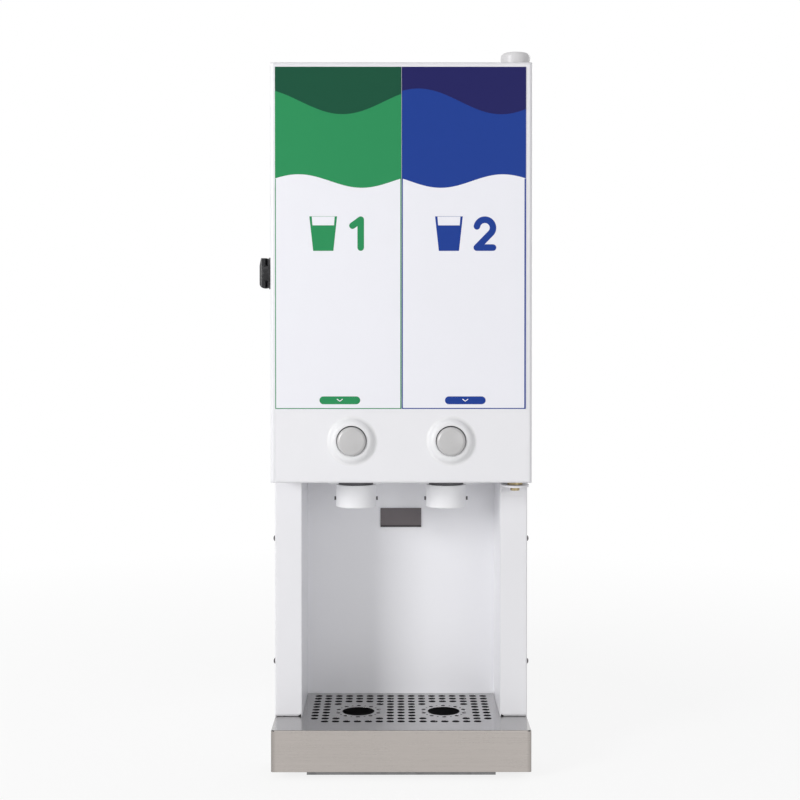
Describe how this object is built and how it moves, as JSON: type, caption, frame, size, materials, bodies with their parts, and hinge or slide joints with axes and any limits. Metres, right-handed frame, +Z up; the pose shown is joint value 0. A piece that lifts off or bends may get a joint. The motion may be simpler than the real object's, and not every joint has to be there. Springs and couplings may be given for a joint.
{
  "type": "milk dispenser",
  "caption": "Tall counter-top chilled milk dispenser with a hinged insulated door, push buttons, shrouded nozzles over a lift-out drip grille and a slide-out steel tray.",
  "frame": {"origin": "middle of the footprint at the underside of the rubber feet, taken on the overall box", "axes": "+Z up; the front with the door and the tray faces -Y; +X is the hinge side, to the right of someone facing the front"},
  "size_m": [0.3702, 0.4876, 0.9785],
  "materials": {
    "white_paint": "satin",
    "white_plastic": "satin",
    "liner_plastic": "satin",
    "foam": "matte",
    "black_rubber": "matte",
    "gasket_rubber": "matte",
    "galvanised_steel": "satin",
    "stainless": "satin",
    "aluminium": "satin",
    "copper_pipe": "satin",
    "brass": "satin",
    "black_paint": "satin",
    "black_plastic": "satin",
    "grey_plastic": "matte",
    "button_grey": "satin",
    "display_pane": "gloss",
    "green_print": "gloss",
    "blue_print": "gloss",
    "zinc_screw": "satin"
  },
  "bodies": {
    "cabinet": {"base_chassis": "galvanised_steel", "rubber_feet": "black_rubber", "left_side_panel": "white_paint", "right_side_panel": "white_paint", "top_panel": "white_paint", "rear_panel": "white_paint", "rear_grille": "white_paint", "bay_ceiling": "white_paint", "splash_back": "white_paint", "chamber_liner": "liner_plastic", "cabinet_foam": "foam", "front_rails": "white_paint", "evaporator_plate": "aluminium", "pack_shelf": "stainless", "valve_blocks": "white_plastic", "pinch_solenoids": "grey_plastic", "nozzle_flanges": "white_plastic", "left_nozzle_shroud": "white_plastic", "right_nozzle_shroud": "white_plastic", "nozzle_screws": "zinc_screw", "display_housing": "black_plastic", "display_window": "display_pane", "compressor": "black_paint", "compressor_mounts": "black_rubber", "condenser": "aluminium", "fan_shroud": "galvanised_steel", "fan_motor": "grey_plastic", "control_box": "grey_plastic", "cable_gland": "black_plastic", "refrigerant_pipes": "copper_pipe", "side_screws": "zinc_screw", "lower_hinge_bracket": "white_paint", "upper_hinge_bracket": "galvanised_steel", "hinge_pins": "brass", "hinge_cap": "white_plastic", "latch_keeper": "stainless"},
    "door": {"door_skin": "white_paint", "door_liner": "liner_plastic", "door_foam": "foam", "door_gasket": "gasket_rubber", "left_graphic_panel": "green_print", "right_graphic_panel": "blue_print", "left_button_bezel": "white_plastic", "right_button_bezel": "white_plastic", "button_nuts": "grey_plastic", "button_switches": "grey_plastic", "hinge_bushes": "brass", "latch_base": "black_plastic", "left_button_spring": "zinc_screw", "right_button_spring": "zinc_screw"},
    "left_button": {"left_button_cap": "button_grey"},
    "right_button": {"right_button_cap": "button_grey"},
    "left_plunger": {"left_pinch_plunger": "stainless"},
    "right_plunger": {"right_pinch_plunger": "stainless"},
    "latch": {"latch_knob": "black_plastic", "latch_hook": "stainless"},
    "fan": {"fan_rotor": "black_plastic"},
    "tray": {"drip_tray": "stainless", "tray_fascia": "stainless"},
    "grille": {"drip_grille": "stainless"}
  },
  "joints": [
    {"name": "door_hinge", "type": "hinge", "parent": "cabinet", "child": "door", "pos_m": [0.16175, -0.19525, 0.3995], "axis": [0, 0, 1], "range_deg": [0, 110]},
    {"name": "latch_turn", "type": "hinge", "parent": "door", "child": "latch", "pos_m": [-0.16825, -0.19625, 0.6805], "axis": [-1, 0, 0], "range_deg": [0, 90]},
    {"name": "left_button_push", "type": "slide", "parent": "door", "child": "left_button", "axis": [0, 1, 0], "range_m": [0, 0.005], "stiffness_N_per_m": 500, "springref_m": -0.003, "deforming": ["left_button_spring"]},
    {"name": "right_button_push", "type": "slide", "parent": "door", "child": "right_button", "axis": [0, 1, 0], "range_m": [0, 0.005], "stiffness_N_per_m": 500, "springref_m": -0.003, "deforming": ["right_button_spring"]},
    {"name": "left_pinch_slide", "type": "slide", "parent": "cabinet", "child": "left_plunger", "axis": [0, 1, 0], "range_m": [0, 0.009]},
    {"name": "right_pinch_slide", "type": "slide", "parent": "cabinet", "child": "right_plunger", "axis": [0, 1, 0], "range_m": [0, 0.009]},
    {"name": "tray_slide", "type": "slide", "parent": "cabinet", "child": "tray", "axis": [0, -1, 0], "range_m": [0, 0.19]},
    {"name": "grille_lift", "type": "slide", "parent": "tray", "child": "grille", "axis": [0, 0, 1], "range_m": [0, 0.12]},
    {"name": "fan_spin", "type": "hinge", "parent": "cabinet", "child": "fan", "pos_m": [-0.0815, 0.16975, 0.1125], "axis": [0, 1, 0], "continuous": true}
  ],
  "couplings": [
    {"joint": "left_pinch_slide", "follows": "left_button_push", "ratio": 1.8},
    {"joint": "right_pinch_slide", "follows": "right_button_push", "ratio": 1.8}
  ]
}
